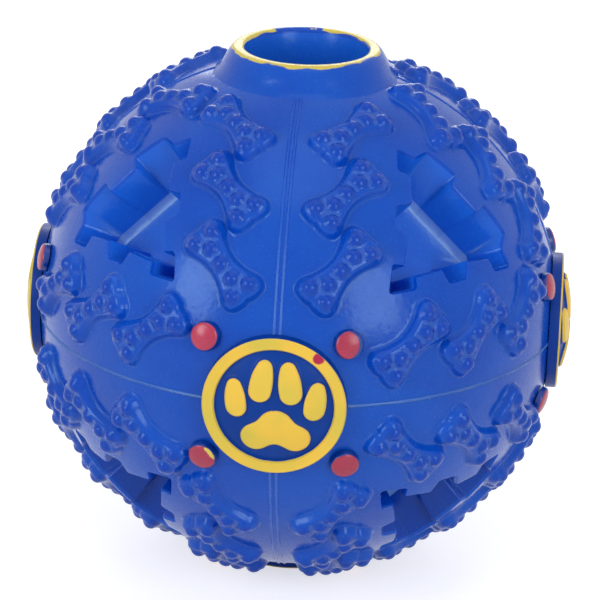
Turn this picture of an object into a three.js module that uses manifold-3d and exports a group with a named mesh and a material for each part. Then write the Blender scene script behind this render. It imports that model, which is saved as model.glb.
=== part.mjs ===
// Treat ball for pets: a hollow soft vinyl ball in two halves with raised bones,
// castellated treat pockets, plugged-in paw medallions, studs and a sliding sound unit.
// Units are millimetres, +Z is up through the filling mouth.
import * as THREE from "three";
import { mergeVertices } from "three/addons/utils/BufferGeometryUtils.js";
import Module from "manifold-3d";

// Driving dimensions of the ball
const BALL_R = 68;
const WALL = 3.4;
const GAP = 0.3;
const SPHERE_DETAIL = 5;
const CAVITY_DETAIL = 3;
const CAVITY_SAG = 1;
const LAP_SEGMENTS = 28;
const CUT_MARGIN = 2;

// Lap joint between the two halves
const LAP_HEIGHT = 3;
const LAP_THICKNESS = 1.45;

// Filling mouth
const MOUTH_R = 15.8;
const LIP_WIDTH = 3;
const LIP_RISE = 2.9;
const COLLAR_R = 23.5;
const COLLAR_SINK = 1;
const COLLAR_SHOULDER = [2.2, 3];
const LIP_DRAFT = [0.4, 1.5];

// Medallions
const FACE_PROUD = 0.9;
const MEDALLION_R = 17.7;
const RING_WIDTH = 3.1;
const RELIEF = 1;
const PAD_ROOT = 0.4;
const DOME_RISE = 2.7;
const DOME_FULLNESS = 2.6;
const DOME_STEPS = [1, 0.86, 0.66, 0.4, 0];
const SPIGOT_R = 13.7;
const SPIGOT_DEPTH = 7.5;
const SNAP_BEAD = 1.2;
const BEAD_HALF = 0.6;
const BEAD_SHIFT = 0.1;
const MEDALLION_SEGMENTS = 20;

// Studs round each medallion
const STUD_R = 3.6;
const STUD_PROUD = 2.5;
const STUD_CIRCLE = 23.2;
const STUD_TURNS = [42, 138, 222, 318];
const STUD_STEM_R = 2;
const STUD_TAIL = 1.2;
const STUD_SEGMENTS = 8;

// Raised bones
const BONE_LENGTH = 23.2;
const BONE_LOBE_R = 2.8;
const BONE_LOBE_SPREAD = 6.4;
const BONE_TIP = [2.6, 0.9];
const BONE_CROWN = [-0.9, 2.8];
const BONE_CLEFT = 1.9;
const BONE_SHAFT = 6;
const BONE_HEIGHT = 2.4;
const BONE_DRAFT = 0.93;
const BONE_TURN = 38.5;
const BONE_OFFSET = 12;
const BONE_FIRST = 28.5;
const BONE_PITCH = 16.4;
const BONES_PER_ROW = 3;
const BONE_ROOT = 1.2;

// Treat pockets, half outline measured from the pocket centre towards the front or back
const POCKET_DEPTH = 15;
const POCKET_BEVEL = 1.8;
const POCKET_BROW = 2.5;
const POCKET_TIP = 26.5;
const POCKET_SIDE = 9.6;
const POCKET_REAR = 13.8;
const POCKET_CORNER = [-8, 21.6];
const POCKET_HALF = [
  [20.2, 4.2], [18.2, 1.7], [10.6, 6], [11.6, 10], [6.8, 12.8], [3.2, 10], [-3.2, 14.6],
  [-2.3, 18.2], POCKET_CORNER, [-9, 16.4], [-POCKET_REAR, 14.8], [-POCKET_REAR, 5.4],
  [-POCKET_SIDE, 4.8],
];
const CUP_WALL = 3.4;
const CUP_FLOOR = 3;
const CUP_REACH = 14.4;
const CUP_SLANT = 58;
const CUP_CHAMFER = 8;

// Sound unit in its sleeve behind the bottom medallion
const SLEEVE_CLEARANCE = 0.4;
const SLEEVE_WALL = 2.2;
const SLEEVE_TOP = 16;
const SLEEVE_SINK = 1.4;
const TUBE_WALL = 1.8;
const CAP_FLANGE = 1.6;
const CAP_PLUG = 2.4;
const CAP_HOLE_R = 3;
const SLUG_CLEARANCE = 0.6;
const SLUG_HEIGHT = 12;
const SLUG_REST = 0.4;
const SLUG_BORE_R = 3;
const WEIGHT_R = 10.4;
const WEIGHT_BORE_R = 5.6;
const WEIGHT_HEIGHT = 5.4;
const TONGUE_LENGTH = 17;
const TONGUE_WIDTH = 7;
const TONGUE_THICKNESS = 0.5;
const TUBE_SEGMENTS = 16;

// Derived heights
const CAVITY_R = BALL_R - WALL;
const FACE_H = BALL_R + FACE_PROUD;
const POCKET_FLOOR = BALL_R - POCKET_DEPTH;
const STUD_ANGLE = Math.asin(STUD_CIRCLE / BALL_R);
const HOLE_R = SPIGOT_R + GAP;
const PLUG_SHELF = capHeight(BALL_R + GAP, SPIGOT_R);
const PLUG_TAIL = PLUG_SHELF - SPIGOT_DEPTH;

const wasm = await Module();
wasm.setup();

const vec = (x, y, z) => new THREE.Vector3(x, y, z);
const TOP = vec(0, 0, 1);
const BOTTOM = vec(0, 0, -1);
const FRONT = vec(0, -1, 0);
const BACK = vec(0, 1, 0);
const LEFT = vec(-1, 0, 0);
const RIGHT = vec(1, 0, 0);

// Height of a sphere over a circle of radius r round its axis
function capHeight(sphereR, r) {
  return Math.sqrt(sphereR * sphereR - r * r);
}

// Closed solid from a three.js geometry, faces turned outward
function solid(geometry) {
  const bare = geometry.clone();
  bare.deleteAttribute("normal");
  bare.deleteAttribute("uv");
  const merged = mergeVertices(bare, 1e-4);
  const p = merged.attributes.position.array;
  const index = merged.index.array;
  const kept = [];
  let volume = 0;
  for (let i = 0; i < index.length; i += 3) {
    const [a, b, c] = [index[i], index[i + 1], index[i + 2]];
    if (a === b || b === c || c === a) continue;
    kept.push([a, b, c]);
    const va = vec(p[3 * a], p[3 * a + 1], p[3 * a + 2]);
    const vb = vec(p[3 * b], p[3 * b + 1], p[3 * b + 2]);
    const vc = vec(p[3 * c], p[3 * c + 1], p[3 * c + 2]);
    volume += va.dot(vb.cross(vc));
  }
  const triVerts = new Uint32Array(kept.length * 3);
  kept.forEach(([a, b, c], i) => triVerts.set(volume > 0 ? [a, b, c] : [a, c, b], 3 * i));
  const vertProperties = new Float32Array(p);
  return new wasm.Manifold(new wasm.Mesh({ numProp: 3, vertProperties, triVerts }));
}

// three.js geometry of a finished solid
function geometryOf(manifold) {
  const mesh = manifold.getMesh();
  const geometry = new THREE.BufferGeometry();
  geometry.setAttribute("position", new THREE.BufferAttribute(new Float32Array(mesh.vertProperties), 3));
  geometry.setIndex(new THREE.BufferAttribute(new Uint32Array(mesh.triVerts), 1));
  geometry.computeVertexNormals();
  return geometry;
}

function joinAll(list) {
  return list.reduce((whole, next) => whole.add(next));
}

// Right-handed frame on the ball: n outward, e1 as near to the given direction as it can be
function frameAt(normal, along) {
  const n = normal.clone().normalize();
  const e1 = along.clone().addScaledVector(n, -along.dot(n)).normalize();
  const e2 = vec(0, 0, 0).crossVectors(n, e1);
  return { n, e1, e2 };
}

// Turned solid: profile of [radius, height] pairs, height measured along the frame's normal
function turned(profile, segments, frame) {
  const points = profile.map(([r, h]) => new THREE.Vector2(r, h));
  const geometry = new THREE.LatheGeometry(points, segments);
  const side = frame.e2.clone().negate();
  geometry.applyMatrix4(new THREE.Matrix4().makeBasis(frame.e1, frame.n, side));
  return solid(geometry);
}

const UPRIGHT = frameAt(TOP, RIGHT);

// Flat plate with an outline, standing on the frame's normal between two heights
function plate(outline, low, high, frame) {
  const shape = new THREE.Shape(outline);
  const geometry = new THREE.ExtrudeGeometry(shape, { depth: high - low, bevelEnabled: false });
  geometry.translate(0, 0, low);
  geometry.applyMatrix4(new THREE.Matrix4().makeBasis(frame.e1, frame.e2, frame.n));
  return solid(geometry);
}

// Prism whose walls run towards the ball centre; each end is flat or follows the ball
function radialPrism(outline, low, high, frame, options = {}) {
  const { domedFoot = false, domedTop = false, topScale = 1 } = options;
  const shape = new THREE.Shape(outline);
  const geometry = new THREE.ExtrudeGeometry(shape, { depth: 1, bevelEnabled: false });
  const position = geometry.attributes.position;
  for (let i = 0; i < position.count; i++) {
    const t = position.getZ(i);
    const shrink = (1 + (topScale - 1) * t) / BALL_R;
    const ray = frame.n.clone();
    ray.addScaledVector(frame.e1, position.getX(i) * shrink);
    ray.addScaledVector(frame.e2, position.getY(i) * shrink);
    if (t > 0.5 ? domedTop : domedFoot) ray.normalize();
    ray.multiplyScalar(low + (high - low) * t);
    position.setXYZ(i, ray.x, ray.y, ray.z);
  }
  return solid(geometry);
}

// Dog bone outline lying along x
function boneOutline() {
  const endX = BONE_LENGTH / 2 - BONE_LOBE_R;
  const lobeY = BONE_LOBE_SPREAD / 2;
  const tip = [endX + BONE_TIP[0], lobeY + BONE_TIP[1]];
  const crown = [endX + BONE_CROWN[0], lobeY + BONE_CROWN[1]];
  const cleft = [endX + BONE_CLEFT, 0];
  const waist = [0, BONE_SHAFT / 2];
  const right = [[crown[0], -crown[1]], [tip[0], -tip[1]], cleft, tip, crown, waist];
  const left = right.map(([x, y]) => [-x, -y]);
  return [...right, ...left].map(([x, y]) => new THREE.Vector2(x, y));
}

// Direction that is turned from one axis towards another
function blend(from, to, angle) {
  return from.clone().multiplyScalar(Math.cos(angle)).addScaledVector(to, Math.sin(angle));
}

// Frames of all bones: three great circles, four quarters each, both sides of the seam
function boneFrames() {
  const circles = [
    [TOP, FRONT, BOTTOM, BACK],
    [RIGHT, FRONT, LEFT, BACK],
    [TOP, LEFT, BOTTOM, RIGHT],
  ];
  const turn = THREE.MathUtils.degToRad(BONE_TURN);
  const offset = THREE.MathUtils.degToRad(BONE_OFFSET);
  const frames = [];
  for (const circle of circles) {
    for (let quarter = 0; quarter < 4; quarter++) {
      const start = circle[quarter];
      const end = circle[(quarter + 1) % 4];
      for (const side of [1, -1]) {
        const across = vec(0, 0, 0).crossVectors(start, end).multiplyScalar(side);
        for (let k = 0; k < BONES_PER_ROW; k++) {
          const along = THREE.MathUtils.degToRad(BONE_FIRST + BONE_PITCH * k);
          const onSeam = blend(start, end, along);
          const forward = blend(start, end, along + Math.PI / 2);
          const n = blend(onSeam, across, offset);
          const outward = blend(onSeam, across, offset + Math.PI / 2);
          frames.push(frameAt(n, blend(forward, outward, -turn)));
        }
      }
    }
  }
  return frames;
}

// Frames of the eight pockets, first axis towards the front or back pole
function pocketFrames() {
  const frames = [];
  for (const x of [-1, 1]) {
    for (const y of [-1, 1]) {
      for (const z of [-1, 1]) frames.push(frameAt(vec(x, y, z), vec(0, y, 0)));
    }
  }
  return frames;
}

function pocketOutline() {
  const upper = [[POCKET_TIP, 0], ...POCKET_HALF];
  const lower = POCKET_HALF.map(([u, v]) => [u, -v]).reverse();
  return [...upper, ...lower].map(([u, v]) => new THREE.Vector2(u, v));
}

// Plain outline round a pocket, wide enough to leave the cup wall
function cupOutline() {
  const slant = THREE.MathUtils.degToRad(CUP_SLANT);
  const reach = CUP_REACH + CUP_WALL;
  const onSlant = (u) => (reach - Math.cos(slant) * u) / Math.sin(slant);
  const tip = POCKET_TIP + CUP_WALL;
  const rear = POCKET_REAR + CUP_WALL;
  const corner = POCKET_CORNER[0];
  const half = [[tip, onSlant(tip)], [corner, onSlant(corner)], [-rear, onSlant(corner) - CUP_CHAMFER]];
  const other = half.map(([u, v]) => [u, -v]).reverse();
  return [...half, ...other].map(([u, v]) => new THREE.Vector2(u, v));
}

// Closed shape through outlines of equal count, each at its height along the frame's normal
function radialLoft(levels, frame) {
  const count = levels[0].outline.length;
  const points = [];
  const index = [];
  levels.forEach(({ outline, height }, level) => {
    for (const { x, y } of outline) {
      const side = frame.e1.clone().multiplyScalar(x).addScaledVector(frame.e2, y);
      const ray = frame.n.clone().addScaledVector(side, 1 / BALL_R);
      points.push(...ray.multiplyScalar(height));
    }
    const first = level * count;
    if (level === 0 || level === levels.length - 1) {
      const cap = THREE.ShapeUtils.triangulateShape(outline, []);
      for (const [i, j, k] of cap) index.push(...(level ? [i, j, k] : [k, j, i]).map((c) => first + c));
    }
    for (let i = 0; level > 0 && i < count; i++) {
      const j = (i + 1) % count;
      const [a, b, c, d] = [first - count + i, first - count + j, first + j, first + i];
      index.push(a, b, c, a, c, d);
    }
  });
  const geometry = new THREE.BufferGeometry();
  geometry.setAttribute("position", new THREE.Float32BufferAttribute(points, 3));
  geometry.setIndex(index);
  return solid(geometry);
}

// Cutter for one pocket: toothed shaft whose far notches run out at a slanted strip above the floor
function pocketCutter(frame) {
  const foot = POCKET_FLOOR + POCKET_BEVEL;
  const stripFoot = (POCKET_SIDE * foot) / POCKET_FLOOR - (POCKET_BEVEL * BALL_R) / POCKET_FLOOR;
  const straight = (far) => pocketOutline().map(({ x, y }) => new THREE.Vector2(Math.max(x, -far), y));
  return radialLoft([
    { outline: straight(stripFoot), height: POCKET_FLOOR },
    { outline: straight(POCKET_SIDE), height: foot },
    { outline: pocketOutline(), height: BALL_R - POCKET_BROW },
    { outline: pocketOutline(), height: BALL_R + BONE_HEIGHT + CUT_MARGIN },
  ], frame);
}

// Cylinder along a frame's normal
function rod(radius, low, high, segments, frame) {
  return turned([[0, low], [radius, low], [radius, high], [0, high]], segments, frame);
}

const MEDALLION_SITES = [
  ["front", frameAt(FRONT, RIGHT)],
  ["back", frameAt(BACK, LEFT)],
  ["left", frameAt(LEFT, FRONT)],
  ["right", frameAt(RIGHT, BACK)],
  ["bottom", frameAt(BOTTOM, RIGHT)],
];

// Hole through the wall for a medallion's plug
function plugHole(site) {
  return rod(HOLE_R, PLUG_TAIL - CUT_MARGIN, FACE_H + CUT_MARGIN, MEDALLION_SEGMENTS, site);
}

// Four studs round a medallion, on its diagonals
function studFrames(site) {
  return STUD_TURNS.map((degrees) => {
    const angle = THREE.MathUtils.degToRad(degrees);
    const across = blend(site.e1, site.e2, angle);
    return frameAt(blend(site.n, across, STUD_ANGLE), across);
  });
}

// Room for a stud: a hole for its stem and free space round its head
function studRoom(frame) {
  const foot = CAVITY_R - CAVITY_SAG - CUT_MARGIN;
  const stem = rod(STUD_STEM_R + GAP, foot, BALL_R + CUT_MARGIN, STUD_SEGMENTS, frame);
  const top = BALL_R + BONE_HEIGHT + STUD_PROUD;
  return stem.add(rod(STUD_R + GAP, BALL_R + GAP / 2, top, STUD_SEGMENTS, frame));
}

// The whole vinyl skin before it is parted at the equator
function skin() {
  const ball = solid(new THREE.IcosahedronGeometry(BALL_R, SPHERE_DETAIL));
  const cavity = solid(new THREE.IcosahedronGeometry(CAVITY_R, CAVITY_DETAIL));

  const lipR = MOUTH_R + LIP_WIDTH;
  const lipTop = BALL_R + LIP_RISE;
  const collarFoot = capHeight(BALL_R, COLLAR_R) - COLLAR_SINK;
  const collar = turned([
    [0, collarFoot], [COLLAR_R, collarFoot],
    [COLLAR_R - COLLAR_SHOULDER[0], collarFoot + COLLAR_SHOULDER[1]],
    [lipR + LIP_DRAFT[0], lipTop - LIP_DRAFT[1]], [lipR, lipTop], [0, lipTop],
  ], MEDALLION_SEGMENTS, UPRIGHT);

  const bones = boneFrames().map((frame) =>
    radialPrism(boneOutline(), BALL_R - BONE_ROOT, BALL_R + BONE_HEIGHT, frame,
      { domedFoot: true, domedTop: true, topScale: BONE_DRAFT }));
  const pockets = pocketFrames();
  const cups = pockets.map((frame) =>
    radialPrism(cupOutline(), POCKET_FLOOR - CUP_FLOOR, BALL_R - WALL / 2, frame, { domedTop: true }));

  let body = joinAll([ball, collar, ...bones]).subtract(cavity);
  body = joinAll([body, ...cups]);
  for (const frame of pockets) body = body.subtract(pocketCutter(frame));
  const mouthFoot = capHeight(CAVITY_R, MOUTH_R) - CAVITY_SAG - CUT_MARGIN;
  body = body.subtract(rod(MOUTH_R, mouthFoot, lipTop + CUT_MARGIN, MEDALLION_SEGMENTS, UPRIGHT));
  for (const [, site] of MEDALLION_SITES) {
    body = body.subtract(plugHole(site));
    for (const frame of studFrames(site)) body = body.subtract(studRoom(frame));
  }
  return { body, cavity };
}

// Upper and lower halves with the lap joint, the lower one carrying the sound unit's sleeve
function shellHalves() {
  const { body, cavity } = skin();
  const wide = 2 * BALL_R;
  const lapR = CAVITY_R + LAP_THICKNESS;
  const below = rod(wide, -wide, GAP / 2, 6, UPRIGHT);
  const above = rod(wide, -GAP / 2, wide, 6, UPRIGHT);
  const rebate = rod(lapR + GAP, -wide, LAP_HEIGHT + GAP, LAP_SEGMENTS, UPRIGHT);
  const upper = body.subtract(below).subtract(rebate);

  let tongue = rod(lapR, -LAP_HEIGHT, LAP_HEIGHT, LAP_SEGMENTS, UPRIGHT).subtract(cavity);
  for (const [, site] of MEDALLION_SITES) {
    tongue = tongue.subtract(plugHole(site));
  }
  const inner = SPIGOT_R + SNAP_BEAD + SLEEVE_CLEARANCE;
  const outer = inner + SLEEVE_WALL;
  const foot = -capHeight(CAVITY_R, outer) - SLEEVE_SINK;
  const sleeve = turned([
    [0, -SLEEVE_TOP], [outer, -SLEEVE_TOP], [outer, foot], [inner, foot],
    [inner, -SLEEVE_TOP - SLEEVE_WALL], [0, -SLEEVE_TOP - SLEEVE_WALL],
  ], MEDALLION_SEGMENTS, UPRIGHT);
  const lower = body.subtract(above).add(tongue).add(sleeve);
  return { upper, lower };
}

// Paw print pads in the medallion's plane, x right and y up
function pawPads() {
  const main = [
    [2.4, -0.2], [5.8, -3.4], [8.6, -7.8], [6.6, -11.2], [0, -10.2],
    [-6.6, -11.2], [-8.6, -7.8], [-5.8, -3.4], [-2.4, -0.2],
  ].map(([x, y]) => new THREE.Vector2(x, y));
  const toes = [
    [-9.6, 2.4, 2.7, 4.8, 12], [-3.6, 7.3, 3, 5.4, 3], [3.6, 7.3, 3, 5.4, -3], [9.6, 2.4, 2.7, 4.8, -12],
  ].map(([x, y, a, b, lean]) => {
    const curve = new THREE.EllipseCurve(x, y, a, b, 0, 2 * Math.PI, false, THREE.MathUtils.degToRad(lean));
    return curve.getPoints(8).slice(0, 8);
  });
  return [main, ...toes];
}

// Profile of a medallion's face inside the ring, from the ring to the axis
function domeProfile(foot, rise) {
  const inside = MEDALLION_R - RING_WIDTH;
  const steps = rise > 0 ? DOME_STEPS : [1, 0];
  return steps.map((part) => [part * inside, foot + rise * (1 - part ** DOME_FULLNESS)]);
}

// Medallion: disc with raised ring and paw, domed inside the ring, plug with a snap bead behind
function medallion(site, rise) {
  const ground = FACE_H - RELIEF;
  const brim = capHeight(BALL_R + GAP, MEDALLION_R);
  const bead = capHeight(CAVITY_R, SPIGOT_R + SNAP_BEAD) - CAVITY_SAG - GAP;
  const disc = turned([
    [0, PLUG_TAIL], [SPIGOT_R - BEAD_HALF, PLUG_TAIL], [SPIGOT_R + SNAP_BEAD, bead - BEAD_HALF],
    [SPIGOT_R, bead + BEAD_SHIFT], [SPIGOT_R, PLUG_SHELF], [MEDALLION_R, brim],
    [MEDALLION_R, FACE_H], [MEDALLION_R - RING_WIDTH, FACE_H], ...domeProfile(ground, rise),
  ], MEDALLION_SEGMENTS, site);
  const inside = MEDALLION_R - RING_WIDTH;
  const padSpace = turned([
    [0, ground - PAD_ROOT], [inside, ground - PAD_ROOT], ...domeProfile(FACE_H, rise),
  ], MEDALLION_SEGMENTS, site);
  const top = FACE_H + rise + CUT_MARGIN;
  const pads = pawPads().map((outline) => plate(outline, ground - PAD_ROOT, top, site).intersect(padSpace));
  return joinAll([disc, ...pads]);
}

// Stud: round head on a stem pressed through the wall
function stud(frame) {
  const under = BALL_R + GAP;
  const tail = CAVITY_R - STUD_TAIL;
  const crown = BALL_R + STUD_PROUD;
  return turned([
    [0, tail], [STUD_STEM_R, tail], [STUD_STEM_R, under], [STUD_R, under], [STUD_R, crown], [0, crown],
  ], STUD_SEGMENTS, frame);
}

// Sound unit: capped tube with a weighted reed slug that slides along it
function soundUnit() {
  const tubeR = SPIGOT_R + SNAP_BEAD;
  const boreR = tubeR - TUBE_WALL;
  const plugR = boreR - GAP;
  const slugR = boreR - SLUG_CLEARANCE;
  const bottom = -PLUG_TAIL + 2 * GAP;
  const top = -SLEEVE_TOP - SLEEVE_WALL - SLEEVE_CLEARANCE;
  const tubeLow = bottom + CAP_FLANGE + GAP;
  const tubeHigh = top - CAP_FLANGE - GAP;
  const turn = (profile) => turned(profile, TUBE_SEGMENTS, UPRIGHT);

  const tube = turn([
    [boreR, tubeLow], [tubeR, tubeLow], [tubeR, tubeHigh], [boreR, tubeHigh], [boreR, tubeLow],
  ]);
  const plugTop = tubeLow + CAP_PLUG;
  const lowerCap = turn([
    [0, bottom], [tubeR, bottom], [tubeR, bottom + CAP_FLANGE], [plugR, bottom + CAP_FLANGE],
    [plugR, plugTop], [0, plugTop],
  ]);
  const plugLow = tubeHigh - CAP_PLUG;
  const upperCap = turn([
    [CAP_HOLE_R, plugLow], [plugR, plugLow], [plugR, top - CAP_FLANGE], [tubeR, top - CAP_FLANGE],
    [tubeR, top], [CAP_HOLE_R, top], [CAP_HOLE_R, plugLow],
  ]);

  const slugLow = plugTop + SLUG_REST;
  const slugHigh = slugLow + SLUG_HEIGHT;
  const groove = WEIGHT_HEIGHT + 2 * GAP;
  const slug = turn([
    [SLUG_BORE_R, slugLow], [WEIGHT_BORE_R - GAP, slugLow], [WEIGHT_BORE_R - GAP, slugLow + groove],
    [WEIGHT_R + GAP, slugLow + groove], [WEIGHT_R + GAP, slugLow], [slugR, slugLow], [slugR, slugHigh],
    [SLUG_BORE_R, slugHigh], [SLUG_BORE_R, slugLow],
  ]);
  const weight = turn([
    [WEIGHT_BORE_R, slugLow + GAP], [WEIGHT_R, slugLow + GAP], [WEIGHT_R, slugLow + GAP + WEIGHT_HEIGHT],
    [WEIGHT_BORE_R, slugLow + GAP + WEIGHT_HEIGHT], [WEIGHT_BORE_R, slugLow + GAP],
  ]);
  const strip = new THREE.BoxGeometry(TONGUE_LENGTH, TONGUE_WIDTH, TONGUE_THICKNESS);
  strip.translate(0, 0, slugHigh + GAP + TONGUE_THICKNESS / 2);
  return { tube, lowerCap, upperCap, slug, weight, tongue: solid(strip) };
}

// Materials, colours as seen
function finish(color, roughness, metalness) {
  return new THREE.MeshStandardMaterial({ color, roughness, metalness });
}

const part = new THREE.Group();
const ball = new THREE.Group();
ball.position.z = FACE_H;
part.add(ball);

function addPiece(name, manifold, material) {
  const mesh = new THREE.Mesh(geometryOf(manifold), material);
  mesh.name = name;
  ball.add(mesh);
}

const halves = shellHalves();
addPiece("upper_shell", halves.upper, finish("#2f59ba", 0.42, 0));
addPiece("lower_shell", halves.lower, finish("#2f57b2", 0.42, 0));

for (const [name, site] of MEDALLION_SITES) {
  const rise = name === "bottom" ? 0 : DOME_RISE;
  addPiece(`medallion_${name}`, medallion(site, rise), finish("#0e4688", 0.45, 0));
  studFrames(site).forEach((frame, i) => {
    addPiece(`stud_${name}_${i + 1}`, stud(frame), finish("#d24a58", 0.45, 0));
  });
}

const unit = soundUnit();
addPiece("sound_tube", unit.tube, finish("#d9dadb", 0.35, 0));
addPiece("tube_cap_lower", unit.lowerCap, finish("#c9cbcd", 0.4, 0));
addPiece("tube_cap_upper", unit.upperCap, finish("#c9cbcd", 0.4, 0));
addPiece("reed_body", unit.slug, finish("#3a3c40", 0.5, 0));
addPiece("slug_weight", unit.weight, finish("#9a9da1", 0.35, 1));
addPiece("reed_tongue", unit.tongue, finish("#e6e2d4", 0.4, 0));

export default part;
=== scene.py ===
"""Looks of the pet toy ball: soft blue vinyl with raised bones, toothed pockets, paw medallions and studs.

Shapes are worked out in millimetres round the ball's centre and placed in the frame at the end.
"""
import math

import bpy
import numpy as np
from mathutils import Matrix, geometry


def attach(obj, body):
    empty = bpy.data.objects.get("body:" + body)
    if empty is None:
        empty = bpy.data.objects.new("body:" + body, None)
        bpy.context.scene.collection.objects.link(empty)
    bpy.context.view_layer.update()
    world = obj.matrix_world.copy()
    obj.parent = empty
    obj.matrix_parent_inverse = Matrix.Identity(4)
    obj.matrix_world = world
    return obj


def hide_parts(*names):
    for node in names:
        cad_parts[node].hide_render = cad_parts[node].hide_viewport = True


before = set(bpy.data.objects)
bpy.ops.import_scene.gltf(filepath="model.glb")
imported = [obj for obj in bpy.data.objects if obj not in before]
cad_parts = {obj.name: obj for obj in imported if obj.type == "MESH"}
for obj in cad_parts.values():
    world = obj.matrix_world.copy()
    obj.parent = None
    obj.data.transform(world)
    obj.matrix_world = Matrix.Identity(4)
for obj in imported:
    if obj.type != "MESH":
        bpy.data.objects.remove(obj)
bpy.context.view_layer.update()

MM = 0.001
BALL_R = 68.0
FACE_H = BALL_R + 0.9
CENTRE_Z = FACE_H * MM
WALL = 3.4
CAVITY_R = BALL_R - WALL
GAP = 0.3
SEAM_GAP = 0.03
CUT_OVER = 3

# Dense grid of the skin, cells along one edge of the cube that is blown up to a ball
SKIN_CELLS = 128
CAVITY_CELLS = 36

# Segments of turned shapes
SEAM_SEGMENTS = 360
COLLAR_SEGMENTS = 160
MOUTH_SEGMENTS = 128
NECK_SEGMENTS = 96
PLUG_SEGMENTS = 64
STUD_SEGMENTS = 48
STEM_SEGMENTS = 24
HALF_SEGMENTS = 8
DISC_SEGMENTS = 224
DISC_RINGS = 58

# Raised bones, a quarter of the outline from the waist to the cleft in the end
BONE_QUARTER = [(1.5, 3.0), (5.1, 4.0), (8.1, 5.8), (10.9, 4.9), (11.4, 1.3)]
BONE_CLEFT = (10.8, 0)
BONE_ROUND = 1.6
BONE_STEPS = 4
BONE_HEIGHT = 2.4

# Wall of a bone from the foot up: distance outside the outline and height
BONE_WALL = [(1.0, -1.0), (1.0, -0.04), (0.6, 0.1), (0.3, 0.36), (0.0, 1.0), (-0.38, 1.76), (-0.75, 2.2)]
BONE_CROWN = -1.2

# Points on the crown of a bone, in a box of these half sides
BONE_BOX = (11, 6)
BONE_GRID = 0.42

# Rows of bones beside the seams
BONE_TURN = math.radians(38.5)
BONE_OFFSET = math.radians(12)
BONE_FIRST = math.radians(28.5)
BONE_PITCH = math.radians(16.4)
BONES_PER_ROW = 3

# Nubs on the crown of a bone
NUBS = [(-7.9, -2.6), (-7.9, 2.6), (-4.5, 0), (0, 0), (4.5, 0), (7.9, -2.6), (7.9, 2.6)]
NUB_R = 1.9
NUB_H = 1.15
NUB_FULLNESS = 0.75

# Painted light on a bone: painted highlights at its foot and between nubs, painted shade on the crown and
# the nubs
FOOT_LOW = 0.01
FOOT_HIGH = 0.22
FOOT_SHEEN = 0.1
VALLEY_BAND = 0.25
VALLEY_REACH = 2.95
VALLEY_SHEEN = 0.2
CROWN_DEPTH = 0.4

# Seam lines, with the rise and the share of the half width round one line
SEAM_H = 0.28
SEAM_HALF = 0.42
SEAM_PAIR = 0.75
SEAM_PROFILE = [
    (-1, -1), (0.02, -1), (0.6 * SEAM_H, -0.55), (SEAM_H, 0), (0.6 * SEAM_H, 0.55), (0.02, 1), (-1, 1),
]
# Faces between these rises by a seam get a painted highlight, which fades out at SEAM_FADE above or below
# the centre
SEAM_LOW = 0.05
SEAM_HIGH = SEAM_H + 0.1
SEAM_SHEEN = 0.42
SEAM_FADE = 58

# Pockets, half outline from the pocket centre towards the front or back pole
POCKET_DEPTH = 15
POCKET_FLOOR = BALL_R - POCKET_DEPTH
POCKET_BEVEL = 1.8
POCKET_SIDE = 9.6
STRIP_LAP = 0.1
# Faces of the slanted strips that get a painted highlight: a margin off their foot and top, and how far
# they face outward and along the pocket
STRIP_MARGIN = 0.2
STRIP_FACING = 0.3
POCKET_TIP = (26.5, 0)
POCKET_HALF = [
    (20.2, 4.2), (18.2, 1.7), (10.6, 6), (11.6, 10), (6.8, 12.8), (3.2, 10), (-3.2, 14.6),
    (-2.3, 18.2), (-8, 21.6), (-9, 16.4), (-13.8, 14.8), (-13.8, 5.4), (-9.6, 4.8),
]
POCKET_ROUND = 0.7
POCKET_STEPS = 2
POCKET_REACH = math.radians(25)
RIM_DROP = 0.75
RIM_FLARE = 0.55
RIM_LAP = 0.15
RIM_MARGIN = 0.3

# Cup round a pocket inside the ball, half of its outline and the shrinking rings of its crown
CUP_FLOOR = 3
CUP_HALF = [(29.9, 0.9), (26, 5.0), (-8, 25.5), (-17.2, 17.5)]
CUP_CROWN = (1, 0.75, 0.5, 0.25)

# Filling mouth, with its lip's inner edge as steps outward and up from the lip
MOUTH_R = 15.8
# How far past the mouth's radius the painted light inside the mouth reaches
MOUTH_MARGIN = 0.05
LIP_TOP = BALL_R + 2.9
LIP_EDGE = [(0, -1.1), (0.3, -0.4), (0.9, 0), (0.9, CUT_OVER)]
COLLAR_FOOT = 58
COLLAR = [
    (24.6, 62.2), (23.4, 63.9), (22.6, 64.6), (21.9, 65.6), (21.2, 67.0), (20.4, 68.5), (19.6, 69.7),
    (19.1, 70.3), (18.5, 70.7), (17.7, LIP_TOP), (0, LIP_TOP),
]
COLLAR_R = COLLAR[0][0]
NECK_R = 18.2
NECK_DEPTH = 16
NECK_LAP = 2

# Paint of the lip, its wavering edge and a bare patch at the back
LIP_PAINT = 0.6
LIP_WAVER = 0.45
LIP_FADE = 0.25
LIP_BARE = (-3.7, 17.2)
LIP_BARE_R = 5.2
LIP_BARE_RAGGED = 2.5
LIP_BARE_FADE = 0.6

# Medallions
MEDALLION_R = 17.7
FACE_INSET = 0.35
FACE_EDGE = [(0.1, 0.25), (0, 0.6)]
RING_IN = 14.6
RELIEF = 1.0
RELIEF_EDGE = 0.7
DOME_RISE = 2.7
DOME_FULLNESS = 2.6
SPIGOT_R = 13.7
SPIGOT_DEPTH = 7.5
SPIGOT_TAPER = 0.6
SNAP_BEAD = 1.2
SNAP_STEP = 0.1
SNAP_RAMP = 0.6
PLUG_BORE_DEPTH = 8
PLUG_BORE_OVER = 2

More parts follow.
